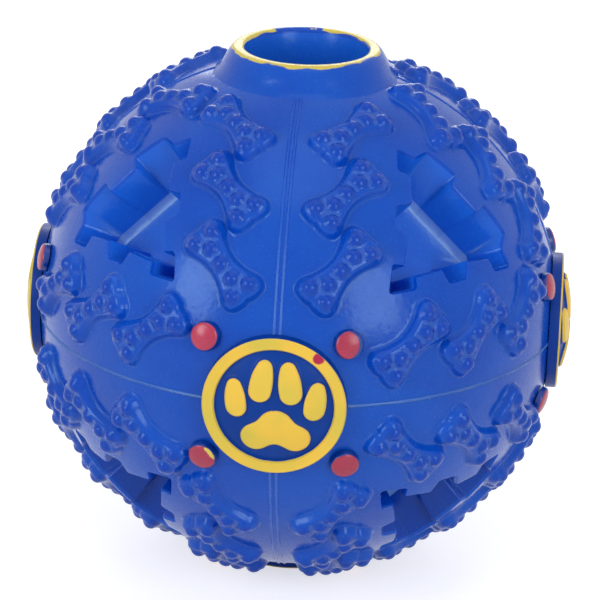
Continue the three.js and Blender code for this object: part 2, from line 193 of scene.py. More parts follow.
# Paw print: toes as two ends with a radius each, the pad as a top and two lobes
TOES = [
    (-9.7, 5.2, 1.9, -9.1, 0.1, 2.6), (-2.4, 10.4, 1.95, -3.4, 4.7, 2.8),
    (3.3, 10.1, 1.95, 4.2, 4.4, 2.8), (10.5, 5.2, 1.9, 9.9, 0.1, 2.6),
]
TOE_BULGE = 0.35
TOE_STEPS = 9
PAD_TOP = (0.7, -4.6, 4.6)
PAD_LOBE = (4.9, -7.5, 3.65)
PAD_FILLET = 2.2

# Studs, with the softened edge of the crown as steps inward and down
STUD_R = 3.6
STUD_FLARE = 0.1
STUD_PROUD = 2.5
STUD_EDGE = [(0, 1.2), (0.1, 0.85), (0.33, 0.58), (0.62, 0.42)]
STUD_DOME = 0.05
STUD_DOME_FROM = 0.9
STUD_DOME_RINGS = 9
STUD_CIRCLE = 23.2
STUD_ANGLE = math.asin(STUD_CIRCLE / BALL_R)
STUD_TURNS = (42, 138, 222, 318)
STUD_STEM_R = 2.0
STUD_TAIL = 1.2
STEM_BORE_DEPTH = 3
STEM_BORE_OVER = 1

# Paint of the studs: how far down and out it reaches, and how it slips off centre
PAINT_DIP = 1.0
PAINT_OVER = 0.4
PAINT_FADE = 0.5
SLIP_SEED = 11
SLIP_SPREAD = 0.2

# Paint flaws on the front: a red blot on the ring, a stud printed off centre, one with a yellow crescent
RING_BLOTS = {"front": (10.5, 13.2, 1.5)}
STUD_SLIPS = {"front_1": (-1.1, 1.0)}
STUD_CRESCENTS = {"front_3": (-1.0, 0.0)}
CRESCENT_FROM = 2.5
CRESCENT_FADE = 1.2

# Sound unit's sleeve inside the lower half
SLEEVE_R = 15.3
SLEEVE_WALL = 2.2
SLEEVE_TOP = 16
SLEEVE_SINK = 1.4

TOP = np.array([0.0, 0.0, 1.0])
BOTTOM = -TOP
FRONT = np.array([0.0, -1.0, 0.0])
BACK = -FRONT
RIGHT = np.array([1.0, 0.0, 0.0])
LEFT = -RIGHT


def unit(v):
    return v / np.linalg.norm(v)


def frame_at(normal, along):
    """Right-handed axes on the ball: n outward, e1 as near to a direction as it can be."""
    n = unit(normal)
    e1 = unit(along - n * np.dot(along, n))
    return n, e1, np.cross(n, e1)


def blend(a, b, angle):
    return a * math.cos(angle) + b * math.sin(angle)


UPRIGHT = frame_at(TOP, RIGHT)
SITES = {
    "front": frame_at(FRONT, RIGHT),
    "back": frame_at(BACK, LEFT),
    "left": frame_at(LEFT, FRONT),
    "right": frame_at(RIGHT, BACK),
    "bottom": frame_at(BOTTOM, RIGHT),
}


def stud_frames(site):
    n, e1, e2 = site
    frames = []
    for degrees in STUD_TURNS:
        across = blend(e1, e2, math.radians(degrees))
        frames.append(frame_at(blend(n, across, STUD_ANGLE), across))
    return frames


def bone_frames(k):
    """The k-th bones of all rows: on three seam circles, in each quarter, on both sides of the seam."""
    circles = [(TOP, FRONT, BOTTOM, BACK), (RIGHT, FRONT, LEFT, BACK), (TOP, LEFT, BOTTOM, RIGHT)]
    along = BONE_FIRST + BONE_PITCH * k
    frames = []
    for poles in circles:
        for quarter in range(4):
            start = poles[quarter]
            end = poles[(quarter + 1) % 4]
            for side in (1, -1):
                across = np.cross(start, end) * side
                on_seam = blend(start, end, along)
                forward = blend(start, end, along + math.pi / 2)
                n = blend(on_seam, across, BONE_OFFSET)
                outward = blend(on_seam, across, BONE_OFFSET + math.pi / 2)
                frames.append(frame_at(n, blend(forward, outward, -BONE_TURN)))
    return frames


def pocket_frames():
    corners = [(x, y, z) for x in (-1, 1) for y in (-1, 1) for z in (-1, 1)]
    return [frame_at(np.array(c, float), np.array([0.0, c[1], 0.0])) for c in corners]


# Distances in a flat plane

FAR = 1e9
CORNER_SHARE = 0.45


def smooth_min(a, b, k):
    h = np.clip(0.5 + 0.5 * (b - a) / k, 0, 1)
    return b + (a - b) * h - k * h * (1 - h)


def polygon_distance(x, y, outline):
    """Distance from a closed outline, negative inside."""
    best = np.full(x.shape, FAR)
    inside = np.zeros(x.shape, bool)
    for i in range(len(outline)):
        ax, ay = outline[i - 1]
        bx, by = outline[i]
        ex, ey = bx - ax, by - ay
        t = np.clip(((x - ax) * ex + (y - ay) * ey) / (ex * ex + ey * ey), 0, 1)
        best = np.minimum(best, np.hypot(x - ax - t * ex, y - ay - t * ey))
        if ay != by:
            crosses = (ay > y) != (by > y)
            inside ^= crosses & (x < ax + (y - ay) * ex / ey)
    return np.where(inside, -best, best)


def rounded(outline, radius, steps):
    """The outline with each corner replaced by a small curve that takes less than half of each side."""
    points = []
    count = len(outline)
    for i in range(count):
        corner = np.array(outline[i], float)
        before = np.array(outline[i - 1], float) - corner
        after = np.array(outline[(i + 1) % count], float) - corner
        a = corner + unit(before) * min(radius, CORNER_SHARE * np.linalg.norm(before))
        b = corner + unit(after) * min(radius, CORNER_SHARE * np.linalg.norm(after))
        for t in np.linspace(0, 1, steps + 1):
            points.append(tuple((1 - t) ** 2 * a + 2 * t * (1 - t) * corner + t * t * b))
    return points


def offset(outline, distance):
    """A counter-clockwise outline moved outward, or inward where the distance is negative."""
    points = np.array(outline)
    ahead = np.roll(points, -1, axis=0) - points
    ahead /= np.linalg.norm(ahead, axis=1)[:, None]
    along = ahead + np.roll(ahead, 1, axis=0)
    along /= np.linalg.norm(along, axis=1)[:, None]
    return points + distance * np.stack([along[:, 1], -along[:, 0]], -1)


def bone_outline():
    upper = BONE_QUARTER + [BONE_CLEFT]
    right = upper + [(x, -y) for x, y in reversed(BONE_QUARTER)]
    return rounded(right + [(-x, -y) for x, y in right], BONE_ROUND, BONE_STEPS)[::-1]


def pocket_outline(far=None):
    """Pocket outline; with far given, the toothed far side becomes a straight line there."""
    other = [(u, -v) for u, v in reversed(POCKET_HALF)]
    outline = rounded([POCKET_TIP] + POCKET_HALF + other, POCKET_ROUND, POCKET_STEPS)
    if far is None:
        return outline
    return [(max(u, -far), v) for u, v in outline]


def paw_distance(x, y):
    """Distance from the paw print's outline, negative inside."""
    best = np.full(x.shape, FAR)
    for ax, ay, ar, bx, by, br in TOES:
        for t in np.linspace(0, 1, TOE_STEPS):
            r = ar + (br - ar) * t + TOE_BULGE * 4 * t * (1 - t)
            best = np.minimum(best, np.hypot(x - ax - (bx - ax) * t, y - ay - (by - ay) * t) - r)
    top = np.hypot(x - PAD_TOP[0], y - PAD_TOP[1]) - PAD_TOP[2]
    lobe = np.hypot(np.abs(x - PAD_TOP[0]) - PAD_LOBE[0], y - PAD_LOBE[1]) - PAD_LOBE[2]
    return np.minimum(best, smooth_min(top, lobe, PAD_FILLET))


# Mesh helpers


def mesh_object(name, verts, faces):
    mesh = bpy.data.meshes.new(name)
    mesh.from_pydata(np.asarray(verts).tolist(), [], faces if isinstance(faces, list) else faces.tolist())
    mesh.validate()
    obj = bpy.data.objects.new(name, mesh)
    bpy.context.scene.collection.objects.link(obj)
    return obj


def joined(name, shapes):
    """One object from several closed shapes given as vertices and faces."""
    verts = []
    faces = []
    for v, f in shapes:
        start = len(verts)
        verts += [tuple(p) for p in v]
        faces += [[start + i for i in face] for face in f]
    return mesh_object(name, verts, faces)


def boolean(target, tool, operation):
    modifier = target.modifiers.new("cut", "BOOLEAN")
    modifier.operation = operation
    modifier.solver = "MANIFOLD"
    modifier.object = tool
    depsgraph = bpy.context.evaluated_depsgraph_get()
    result = bpy.data.meshes.new_from_object(target.evaluated_get(depsgraph))
    target.modifiers.clear()
    old = target.data
    target.data = result
    bpy.data.meshes.remove(old)


def discard(*objects):
    for obj in objects:
        mesh = obj.data
        bpy.data.objects.remove(obj)
        bpy.data.meshes.remove(mesh)


def cube_sphere(cells):
    """Unit directions and quads of a cube grid blown up to a ball."""
    lattice = []
    quads = []
    steps = np.arange(cells + 1)
    a, b = [g.ravel() for g in np.meshgrid(steps, steps, indexing="ij")]
    base = np.arange((cells + 1) ** 2).reshape(cells + 1, cells + 1)
    q = np.stack([base[:-1, :-1], base[1:, :-1], base[1:, 1:], base[:-1, 1:]], -1).reshape(-1, 4)
    for axis in range(3):
        for end in (0, cells):
            p = np.empty((len(a), 3), int)
            p[:, axis] = end
            p[:, (axis + 1) % 3] = a
            p[:, (axis + 2) % 3] = b
            quads.append((q if end else q[:, ::-1]) + len(a) * len(quads))
            lattice.append(p)
    lattice = np.concatenate(lattice)
    key = (lattice[:, 0] * (cells + 1) + lattice[:, 1]) * (cells + 1) + lattice[:, 2]
    _, first, back = np.unique(key, return_index=True, return_inverse=True)
    points = np.tan((lattice[first] / cells - 0.5) * math.pi / 2)
    points /= np.linalg.norm(points, axis=1)[:, None]
    return points, back[np.concatenate(quads)]


def turns(segments):
    return np.arange(segments) * 2 * math.pi / segments


def circle(segments, e1, e2):
    turn = turns(segments)
    return np.cos(turn)[:, None] * e1 + np.sin(turn)[:, None] * e2


def band(a, b, count):
    """Quads between two rings of equal count that start at vertices a and b."""
    return [[a + i, a + (i + 1) % count, b + (i + 1) % count, b + i] for i in range(count)]


def lathe(profile, segments, site):
    """Closed turned shape: a profile of radius and height, from axis to axis, along a site's normal."""
    n, e1, e2 = site
    ring = circle(segments, e1, e2)
    verts = []
    rings = []
    for r, h in profile:
        if r == 0:
            rings.append([len(verts)] * segments)
            verts.append(n * h)
        else:
            rings.append(list(range(len(verts), len(verts) + segments)))
            verts += list(ring * r + n * h)
    faces = []
    for low, high in zip(rings, rings[1:]):
        for i in range(segments):
            j = (i + 1) % segments
            face = [low[i], low[j], high[j], high[i]]
            faces.append(list(dict.fromkeys(face)))
    return verts, faces


def rod(radius, low, high, segments, site):
    return lathe([(0, low), (radius, low), (radius, high), (0, high)], segments, site)


def radial_loft(levels, site):
    """Closed shape through outlines of equal count, each flat at its height or domed at its radius."""
    n, e1, e2 = site
    count = len(levels[0][0])
    verts = []
    for outline, h, domed in levels:
        rays = [n + e1 * u / BALL_R + e2 * v / BALL_R for u, v in outline]
        verts += [h * (unit(ray) if domed else ray) for ray in rays]
    last = len(verts) - count
    faces = [list(range(count))[::-1], list(range(last, last + count))]
    for start in range(0, last, count):
        faces += band(start, start + count, count)
    return verts, faces


def pocket(site):
    """Toothed pocket with a flared rim; its notches end at a slanted strip by the foot of the far side."""
    foot = POCKET_FLOOR + POCKET_BEVEL
    near_strip = POCKET_SIDE * foot / POCKET_FLOOR - POCKET_BEVEL * BALL_R / POCKET_FLOOR
    rim = offset(pocket_outline(), RIM_FLARE)
    levels = [
        (pocket_outline(near_strip), POCKET_FLOOR, False),
        (pocket_outline(POCKET_SIDE - STRIP_LAP), foot, False),
        (pocket_outline(), BALL_R - RIM_DROP, True),
        (rim, BALL_R + RIM_LAP, True),
        (rim, BALL_R + BONE_HEIGHT + CUT_OVER, True),
    ]
    return radial_loft(levels, site)


def cup(site):
    """Solid round a pocket, its crown inside the wall of the ball."""
    n, e1, e2 = site
    outline = CUP_HALF + [(u, -v) for u, v in reversed(CUP_HALF)]
    count = len(outline)
    low = POCKET_FLOOR - CUP_FLOOR
    high = BALL_R - WALL / 2
    verts = [low * (n + e1 * u / BALL_R + e2 * v / BALL_R) for u, v in outline]
    faces = [list(range(count))[::-1]]
    for scale in CUP_CROWN:
        verts += [high * unit(n + (e1 * u + e2 * v) * scale / BALL_R) for u, v in outline]
    last = len(CUP_CROWN) * count
    for start in range(0, last, count):
        faces += band(start, start + count, count)
    faces.append(list(range(last, last + count)))
    return verts, faces


# The skin

INSIDE_ONLY = 1
SAME_POINT = 1e-5


def bone_shape():
    """One bone in flat coordinates and heights: a filleted wall and a flat crown with seven nubs."""
    outline = bone_outline()
    count = len(outline)
    rings = [offset(outline, d) for d, h in BONE_WALL]
    crown = offset(outline, BONE_CROWN)
    steps = [np.arange(-half, half + 0.5 * BONE_GRID, BONE_GRID) for half in BONE_BOX]
    gx, gy = [g.ravel() for g in np.meshgrid(*steps)]
    inner = np.stack([gx, gy], -1)[polygon_distance(gx, gy, crown) < -0.5 * BONE_GRID]
    flat = np.concatenate([crown, inner])
    loop = [(i, (i + 1) % count) for i in range(count)]
    found = geometry.delaunay_2d_cdt(flat.tolist(), loop, [], INSIDE_ONLY, SAME_POINT)
    source = [ids[0] for ids in found[3]]
    start = len(rings) * count
    faces = [[start + source[i] for i in face] for face in found[2]]
    faces.append(list(range(count))[::-1])
    for k in range(len(rings)):
        faces += band(k * count, (k + 1) * count, count)
    height = np.full(len(flat), BONE_HEIGHT)
    for nx, ny in NUBS:
        rho = ((flat[:, 0] - nx) ** 2 + (flat[:, 1] - ny) ** 2) / NUB_R ** 2
        height += NUB_H * np.clip(1 - rho, 0, 1) ** NUB_FULLNESS
    walls = [np.column_stack([ring, np.full(count, h)]) for ring, (d, h) in zip(rings, BONE_WALL)]
    return np.concatenate(walls + [np.column_stack([flat, height])]), faces


def bones(k):
    """The k-th bones of all rows as one object."""
    local, faces = bone_shape()
    shapes = []
    for n, e1, e2 in bone_frames(k):
        rays = n + (local[:, :1] * e1 + local[:, 1:2] * e2) / BALL_R
        rays /= np.linalg.norm(rays, axis=1)[:, None]
        shapes.append((rays * (BALL_R + local[:, 2:]), faces))
    return joined("bones", shapes)


def seam(site, shifts):
    """Raised parting lines round a great circle, each shifted a little along the circle's axis."""
    n, e1, e2 = site
    ring = circle(SEAM_SEGMENTS, e1, e2)
    corners = len(SEAM_PROFILE)
    faces = []
    for k in range(corners):
        faces += band(k * SEAM_SEGMENTS, (k + 1) % corners * SEAM_SEGMENTS, SEAM_SEGMENTS)
    shapes = []
    for shift in shifts:
        verts = []
        for rise, side in SEAM_PROFILE:
            verts += list(ring * (BALL_R + rise) + n * (shift + side * SEAM_HALF))
        shapes.append((verts, faces))
    return joined("seam", shapes)


def skin_object():
    points, quads = cube_sphere(SKIN_CELLS)
    body = mesh_object("skin", points * BALL_R, quads)
    raised = [bones(k) for k in range(BONES_PER_ROW)]
    raised.append(seam(UPRIGHT, [0]))
    raised.append(seam(SITES["front"], [0]))
    raised.append(seam(SITES["right"], [-SEAM_PAIR, SEAM_PAIR]))
    for part in raised:
        boolean(body, part, "UNION")
    discard(*raised)
    return body


def cutters():
    """Everything that is cut out of the skin, as one object."""
    inner = LIP_TOP - NECK_DEPTH - CUT_OVER
    mouth = [(0, inner), (MOUTH_R, inner)]
    mouth += [(MOUTH_R + out, LIP_TOP + up) for out, up in LIP_EDGE]
    mouth.append((0, LIP_TOP + CUT_OVER))
    shapes = [pocket(site) for site in pocket_frames()]
    shapes.append(lathe(mouth, MOUTH_SEGMENTS, UPRIGHT))
    plug_low, plug_high = CAVITY_R - PLUG_BORE_DEPTH, FACE_H + PLUG_BORE_OVER
    stem_low, stem_high = CAVITY_R - STEM_BORE_DEPTH, BALL_R + STEM_BORE_OVER
    for site in SITES.values():
        shapes.append(rod(SPIGOT_R + GAP, plug_low, plug_high, PLUG_SEGMENTS, site))
        for stud in stud_frames(site):
            shapes.append(rod(STUD_STEM_R + GAP, stem_low, stem_high, STEM_SEGMENTS, stud))
    return joined("cutters", shapes)


def collar_object():
    foot = [(0, COLLAR_FOOT), (COLLAR_R, COLLAR_FOOT)]
    return joined("collar", [lathe(foot + COLLAR, COLLAR_SEGMENTS, UPRIGHT)])


def cavity_object():
    points, quads = cube_sphere(CAVITY_CELLS)
    return mesh_object("cavity", points * CAVITY_R, quads)


def inner_walls_object():
    """Pocket cups, the sleeve of the sound unit and the neck of the mouth, as one object."""
    outer = SLEEVE_R + SLEEVE_WALL
    under = -SLEEVE_TOP - SLEEVE_WALL
    base = -math.sqrt(CAVITY_R ** 2 - outer ** 2) - SLEEVE_SINK
    sleeve = [
        (0, under), (SLEEVE_R, under), (SLEEVE_R, base),
        (outer, base), (outer, -SLEEVE_TOP), (0, -SLEEVE_TOP),
    ]
    shapes = [cup(site) for site in pocket_frames()]
    shapes.append(lathe(sleeve, PLUG_SEGMENTS, UPRIGHT))
    shapes.append(rod(NECK_R, LIP_TOP - NECK_DEPTH, BALL_R - NECK_LAP, NECK_SEGMENTS, UPRIGHT))
    return joined("inner_walls", shapes)


def half_space(name, low, high):
    return joined(name, [rod(2 * BALL_R, low, high, HALF_SEGMENTS, UPRIGHT)])


def shells():
    """Upper and lower half of the ball as closed walls."""
    upper = skin_object()
    steps = [
        (collar_object(), "UNION"), (cavity_object(), "DIFFERENCE"),
        (inner_walls_object(), "UNION"), (cutters(), "DIFFERENCE"),
    ]
    for tool, operation in steps:
        boolean(upper, tool, operation)
        discard(tool)
    lower = upper.copy()
    lower.data = upper.data.copy()
    bpy.context.scene.collection.objects.link(lower)
    below = half_space("below", -2 * BALL_R, SEAM_GAP / 2)
    above = half_space("above", -SEAM_GAP / 2, 2 * BALL_R)
    boolean(upper, below, "DIFFERENCE")
    boolean(lower, above, "DIFFERENCE")
    discard(below, above)
    return upper, lower


def set_attribute(obj, name, values, domain="POINT"):
    layer = obj.data.attributes.new(name, "FLOAT", domain)
    layer.data.foreach_set("value", np.asarray(values, np.float32))


def face_data(obj, name):
    values = np.empty(3 * len(obj.data.polygons))
    obj.data.polygons.foreach_get(name, values)
    return values.reshape(-1, 3)


def smooth_faces(points):
    """Smooth shading for all faces but the flat walls inside the pockets."""
    reach = np.linalg.norm(points, axis=1)
    nearest = np.max([points @ n for n, *_ in pocket_frames()], axis=0) / reach
    inside = (nearest > math.cos(POCKET_REACH)) & (reach < BALL_R - RIM_DROP - RIM_MARGIN)
    return ~inside


def on_strips(points, normals):
    """Tells which faces are the slanted strips in the pockets, which get a painted highlight."""
    found = np.zeros(len(points), bool)
    low = POCKET_FLOOR + STRIP_MARGIN
    high = POCKET_FLOOR + POCKET_BEVEL - STRIP_MARGIN
    for n, e1, _ in pocket_frames():
        height = points @ n
        level = (height > low) & (height < high)
        found |= level & (normals @ e1 > STRIP_FACING) & (normals @ n > STRIP_FACING)
    return found & (np.linalg.norm(points, axis=1) < CAVITY_R)


def seam_sheen(height):
    """Sheen of the seam lines; it fades towards the top and the bottom of the ball."""
    from_top = (SEAM_FADE - height) / SEAM_FADE
    from_bottom = 1 + height / SEAM_FADE
    return SEAM_SHEEN * np.clip(np.minimum(from_top, from_bottom), 0, 1)


def between_nubs(points):
    """Tells which points on the crowns of the bones have two nubs close by."""
    found = np.zeros(len(points), bool)
    for k in range(BONES_PER_ROW):
        for n, e1, e2 in bone_frames(k):
            ahead = points @ n
            near = ahead > BALL_R
            u = points[near] @ e1 / ahead[near] * BALL_R
            v = points[near] @ e2 / ahead[near] * BALL_R
            away = np.sort([np.hypot(u - nx, v - ny) for nx, ny in NUBS], axis=0)
            found[near] |= away[1] < VALLEY_REACH
    return found


def mark_tones(obj):
    """Marks painted highlights, painted shade and painted light on the faces.

    Painted highlights go on the pocket strips, the seam lines, the feet of the bones and between nubs;
    painted shade on the crowns and nubs of the bones and in the lower pockets; painted light inside the
    mouth and the upper pockets.
    Bones and nubs are told by how far their faces rise above the ball.
    """
    points = face_data(obj, "center")
    upper = points[:, 2] > 0
    reach = np.linalg.norm(points, axis=1)
    from_axis = np.hypot(points[:, 0], points[:, 1])
    near_seam = np.min(np.abs(points), axis=1) < SEAM_PAIR + SEAM_HALF
    by_collar = (from_axis < COLLAR_R) & upper
    on_seam = near_seam & (reach > BALL_R + SEAM_LOW) & (reach < BALL_R + SEAM_HIGH)
    rise = np.where(by_collar | near_seam, 0, reach - BALL_R)
    crown = np.flatnonzero(np.abs(rise - BONE_HEIGHT) < VALLEY_BAND)
    # Painted highlights on the pocket strips, the seam lines, the feet of the bones and the valleys
    # between nubs
    painted_highlight = on_strips(points, face_data(obj, "normal")).astype(np.float32)
    painted_highlight[on_seam] = seam_sheen(points[on_seam, 2])
    painted_highlight[(rise > FOOT_LOW) & (rise < FOOT_HIGH)] = FOOT_SHEEN
    painted_highlight[crown[between_nubs(points[crown])]] = VALLEY_SHEEN
    in_mouth = by_collar & (from_axis < MOUTH_R + MOUTH_MARGIN)
    in_pocket = ~smooth_faces(points)
    # Painted shade: deeper on the crowns and nubs of the bones and inside the pockets of the lower half
    painted_shade = np.clip(CROWN_DEPTH + (rise - BONE_HEIGHT) / NUB_H, 0, 1)
    painted_shade[in_pocket & ~upper] = 1
    set_attribute(obj, "painted_highlight", painted_highlight, "FACE")
    set_attribute(obj, "painted_shade", painted_shade, "FACE")
    # Painted light inside the mouth and the pockets of the upper half
    set_attribute(obj, "lit", in_mouth | in_pocket & upper, "FACE")


def settle(obj, name, body, node, material, sharp=60):
    obj.name = name
    obj.data.name = name
    obj.data.polygons.foreach_set("use_smooth", smooth_faces(face_data(obj, "center")))
    obj.data.transform(Matrix.Translation((0, 0, CENTRE_Z)) @ Matrix.Scale(MM, 4))
    obj.data.materials.clear()
    obj.data.materials.append(material)
    obj.data.set_sharp_from_angle(angle=math.radians(sharp))
    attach(obj, body)
    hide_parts(node)


# Medallions and studs


def medallion_face(rise):
    """Grid of the face from the middle outward, as x, y and height, and how far its relief is up."""
    radii = np.linspace(0, MEDALLION_R - FACE_INSET, DISC_RINGS + 1)[1:]
    r, t = np.meshgrid(radii, turns(DISC_SEGMENTS), indexing="ij")
    x = r * np.cos(t)
    y = r * np.sin(t)
    ring = np.abs(r - (RING_IN + MEDALLION_R) / 2) - (MEDALLION_R - RING_IN) / 2
    d = np.minimum(ring, paw_distance(x, y))
    lift = np.clip(0.5 - d / RELIEF_EDGE, 0, 1)
    lift = lift * lift * (3 - 2 * lift)
    dome = rise * (1 - np.minimum(r / RING_IN, 1) ** DOME_FULLNESS)
    height = FACE_H - RELIEF + RELIEF * lift + dome
    return np.stack([x, y, height], -1).reshape(-1, 3), lift.ravel()


def medallion_skirt():
    """Radii and heights from the edge of the face round the brim and the snap-in plug to its tail."""
    shelf = math.sqrt((BALL_R + GAP) ** 2 - SPIGOT_R ** 2)
    brim = math.sqrt((BALL_R + GAP) ** 2 - MEDALLION_R ** 2)
    bead = math.sqrt(CAVITY_R ** 2 - (SPIGOT_R + SNAP_BEAD) ** 2) - GAP
    edge = [(MEDALLION_R - inset, FACE_H - drop) for inset, drop in FACE_EDGE]
    plug = [
        (MEDALLION_R, brim), (SPIGOT_R, shelf), (SPIGOT_R, bead + SNAP_STEP),
        (SPIGOT_R + SNAP_BEAD, bead - SNAP_RAMP), (SPIGOT_R - SPIGOT_TAPER, shelf - SPIGOT_DEPTH),
    ]
    return edge + plug


def disc_faces(levels):
    """Faces of rings from a middle point in front to a middle point behind."""
    segments = DISC_SEGMENTS
    last = 1 + (levels - 1) * segments
    faces = []
    for i in range(segments):
        j = (i + 1) % segments
        faces.append([0, 1 + i, 1 + j])
        for a in range(1, last, segments):
            b = a + segments
            faces.append([a + i, b + i, b + j, a + j])
        faces.append([last + i, last + segments, last + j])
    return faces


def medallion_object(site, rise, blot):
    """Disc with a raised ring and a paw print on a domed middle, a snap-in plug behind."""
    n, e1, e2 = site
    face, lift = medallion_face(rise)
    skirt = medallion_skirt()
    turn = turns(DISC_SEGMENTS)
    side = []
    for r, h in skirt:
        side.append(np.column_stack([r * np.cos(turn), r * np.sin(turn), np.full(DISC_SEGMENTS, h)]))
    middle = [[0, 0, FACE_H - RELIEF + rise]]
    tail = [[0, 0, skirt[-1][1]]]
    local = np.concatenate([middle, face] + side + [tail])
    verts = local[:, :1] * e1 + local[:, 1:2] * e2 + local[:, 2:] * n
    obj = mesh_object("medallion", verts, disc_faces(DISC_RINGS + len(skirt)))
    paint = np.zeros(len(local))
    edge = 1 + lift.size
    paint[1:edge] = lift
    paint[edge:edge + DISC_SEGMENTS] = 1
    set_attribute(obj, "paint", paint)
    if blot:
        away = np.hypot(local[:, 0] - blot[0], local[:, 1] - blot[1]) / blot[2]
        set_attribute(obj, "stray", np.clip(1 - away / 2, 0, 1) * (paint > 0.5))
    return obj


def stud_profile(crown):
    """Radii and heights from the tail over the stem and the softened edge to the top of the crown."""
    under = BALL_R + GAP
    tail = CAVITY_R - STUD_TAIL
    profile = [(0, tail), (STUD_STEM_R, tail), (STUD_STEM_R, under), (STUD_R + STUD_FLARE, under)]
    profile += [(STUD_R - inset, crown - drop) for inset, drop in STUD_EDGE]
    inset, drop = STUD_EDGE[-1]
    for part in np.linspace(STUD_DOME_FROM, 0, STUD_DOME_RINGS):
        profile.append(((STUD_R - inset) * part, crown + STUD_DOME - (drop + STUD_DOME) * part ** 2))
    return profile


def stud_object(site, slip, crescent):
    """Round stud with a softened crown; its red paint sits a little off centre."""
    n, e1, e2 = site
    crown = BALL_R + STUD_PROUD
    verts, faces = lathe(stud_profile(crown), STUD_SEGMENTS, site)
    obj = mesh_object("stud", verts, faces)
    local = np.array(verts)
    x, y = local @ e1, local @ e2
    off = np.hypot(x - slip[0], y - slip[1])
    on_top = np.clip((local @ n - crown + PAINT_DIP) / PAINT_FADE, 0, 1)
    set_attribute(obj, "paint", on_top * np.clip((STUD_R + PAINT_OVER - off) / PAINT_FADE, 0, 1))
    if crescent:
        side = x * crescent[0] + y * crescent[1]
        set_attribute(obj, "stray", on_top * np.clip(0.5 + (side - CRESCENT_FROM) / CRESCENT_FADE, 0, 1))
    return obj


# Materials


def srgb(r, g, b):
    """Linear colour of an sRGB triple from 0 to 255."""
    channels = []
    for c in (r, g, b):
        c /= 255
        channels.append(c / 12.92 if c <= 0.04045 else ((c + 0.055) / 1.055) ** 2.4)
    return (*channels, 1.0)


class Surface:
    """A principled material with a few short ways to wire its nodes."""

    def __init__(self, name):
        self.material = bpy.data.materials.new(name)
        self.material.use_nodes = True
        self.tree = self.material.node_tree
        self.shader = self.tree.nodes["Principled BSDF"]

    def feed(self, socket, value):
        if isinstance(value, bpy.types.NodeSocket):
            self.tree.links.new(value, socket)
        else:
            socket.default_value = value

    def node(self, kind, **inputs):
        node = self.tree.nodes.new(kind)
        for key, value in inputs.items():
            self.feed(node.inputs[key.replace("_", " ")], value)
        return node

    def set(self, name, value):
        self.feed(self.shader.inputs[name], value)

    def place(self):
        return self.tree.nodes.new("ShaderNodeTexCoord").outputs["Object"]

    def noise(self, scale, detail=3.0):
        node = self.node("ShaderNodeTexNoise", Vector=self.place(), Scale=scale, Detail=detail)
        return node.outputs["Fac"]

    def ramp(self, value, low, high, to_low=0.0, to_high=1.0):
        limits = {"From_Min": low, "From_Max": high, "To_Min": to_low, "To_Max": to_high}
        node = self.node("ShaderNodeMapRange", Value=value, **limits)
        node.interpolation_type = "SMOOTHSTEP"
        return node.outputs["Result"]

    def math(self, operation, a, b=0.0):
        node = self.tree.nodes.new("ShaderNodeMath")
        node.operation = operation
        for socket, item in zip(node.inputs, (a, b)):
            self.feed(socket, item)
        return node.outputs[0]

    def mix(self, factor, a, b):
        node = self.node("ShaderNodeMix", Factor=factor)
        node.data_type = "RGBA"
        sockets = [s for s in node.inputs if s.type == "RGBA"]
        for socket, item in zip(sockets, (a, b)):
            self.feed(socket, item)
        return [s for s in node.outputs if s.type == "RGBA"][0]

    def attribute(self, name):
        node = self.tree.nodes.new("ShaderNodeAttribute")
        node.attribute_name = name
        return node.outputs["Fac"]

    def split(self, vector):
        return self.node("ShaderNodeSeparateXYZ", Vector=vector).outputs

    def bump(self, height, distance, strength):
        node = self.node("ShaderNodeBump", Height=height, Distance=distance, Strength=strength)
        self.set("Normal", node.outputs["Normal"])


BLUE = srgb(8, 82, 194)
BLUE_DEEP = srgb(2, 70, 184)
BLUE_PALE = srgb(26, 100, 206)
# Painted light for the mouth and upper pockets, painted highlight, and painted shade for bones and lower
# pockets
BLUE_LIT = srgb(27, 101, 213)
BLUE_PAINTED_HIGHLIGHT = srgb(104, 145, 220)
BLUE_PAINTED_SHADE = srgb(0, 62, 176)
SHEEN = (0.62, 0.92, 1.0, 1.0)
NAVY = srgb(0, 60, 152)
STUD_BLUE = srgb(5, 58, 150)
YELLOW = srgb(218, 195, 81)
YELLOW_WARM = srgb(241, 198, 78)
RED = srgb(182, 46, 80)
RED_DEEP = srgb(164, 38, 70)


def darker(color, share):
    return (*[c * share for c in color[:3]], 1.0)


def lip_paint(s):
    """Where the lip of the mouth is painted: above a wavering edge, but for one ragged bare patch."""
    x, y, z = s.split(s.place())
    waver = s.ramp(s.noise(140.0, detail=2.0), 0.2, 0.8, to_low=-LIP_WAVER * MM, to_high=LIP_WAVER * MM)
    edge = CENTRE_Z + (LIP_TOP - LIP_PAINT) * MM
    paint = s.ramp(s.math("ADD", z, waver), edge, edge + LIP_FADE * MM)
    away_x = s.math("ABSOLUTE", s.math("SUBTRACT", x, LIP_BARE[0] * MM))
    away_y = s.math("ABSOLUTE", s.math("SUBTRACT", y, LIP_BARE[1] * MM))
    away = s.math("MAXIMUM", away_x, away_y)
    spread = LIP_BARE_RAGGED * MM
    ragged = s.ramp(s.noise(420.0, detail=4.0), 0.3, 0.7, to_low=-spread, to_high=spread)
    bare = s.ramp(s.math("ADD", away, ragged), LIP_BARE_R * MM, (LIP_BARE_R + LIP_BARE_FADE) * MM)
    return s.math("MULTIPLY", paint, bare)


